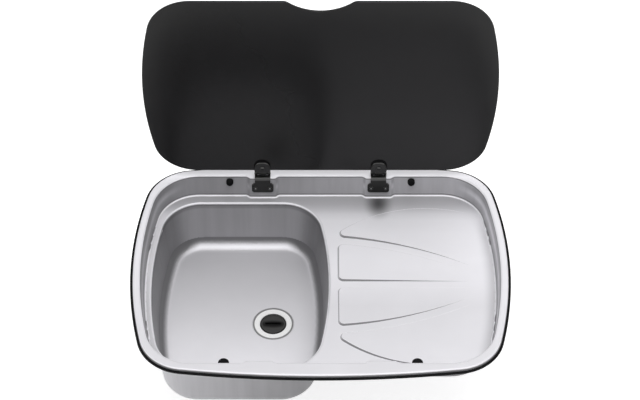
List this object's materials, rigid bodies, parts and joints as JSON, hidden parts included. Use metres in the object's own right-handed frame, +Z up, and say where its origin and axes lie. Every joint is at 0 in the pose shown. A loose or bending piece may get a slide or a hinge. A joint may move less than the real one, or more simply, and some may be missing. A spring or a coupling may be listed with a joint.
{
  "type": "kitchen sink with hinged glass lid",
  "caption": "Drop-in pressed steel sink with an offset bowl, a fan-shaped drainer and a black glass lid on rear hinges.",
  "frame": {"origin": "centre of the worktop cut-out, at the level of the worktop's top face", "axes": "+Z up, +Y from the user's side to the hinges, +X to the drainer side"},
  "size_m": [0.6034, 0.4524, 0.5753],
  "materials": {
    "steel": "fine satin",
    "bright_steel": "polished",
    "screw_steel": "zinc plated",
    "black_glass": "black tinted, glossy",
    "black_metal": "black, semi-gloss",
    "black_rubber": "matt",
    "black_plastic": "matt",
    "grey_plastic": "dark grey, satin"
  },
  "bodies": {
    "sink": {"sink_pressing": "steel", "flange_seal": "black_rubber", "hinge_base_screws": "black_metal", "hinge_base_nuts": "screw_steel", "waste_flange": "bright_steel", "waste_upper_seal": "black_rubber", "strainer_grid": "bright_steel", "waste_lower_seal": "black_rubber", "waste_body": "black_plastic", "waste_screw": "screw_steel", "left_hinge_base": "black_metal", "left_hinge_pin": "screw_steel", "left_hinge_washers": "black_plastic", "rear_left_bumper": "black_rubber", "front_left_bumper": "black_rubber", "right_hinge_base": "black_metal", "right_hinge_pin": "screw_steel", "right_hinge_washers": "black_plastic", "rear_right_bumper": "black_rubber", "front_right_bumper": "black_rubber"},
    "lid": {"glass_lid": "black_glass", "lid_clamp_screws": "black_metal", "left_hinge_arm": "black_metal", "left_clamp_plate": "black_metal", "left_inner_pad": "black_rubber", "left_outer_pad": "black_rubber", "right_hinge_arm": "black_metal", "right_clamp_plate": "black_metal", "right_inner_pad": "black_rubber", "right_outer_pad": "black_rubber"},
    "plug": {"plug_stopper": "black_rubber", "plug_cap": "grey_plastic"}
  },
  "joints": [
    {"name": "lid_hinge", "type": "hinge", "parent": "sink", "child": "lid", "pos_m": [0, 0.2003, 0.0109], "axis": [1, 0, 0], "range_deg": [0, 90]},
    {"name": "plug_lift", "type": "slide", "parent": "sink", "child": "plug", "axis": [0, 0, 1], "range_m": [0, 0.06]}
  ]
}
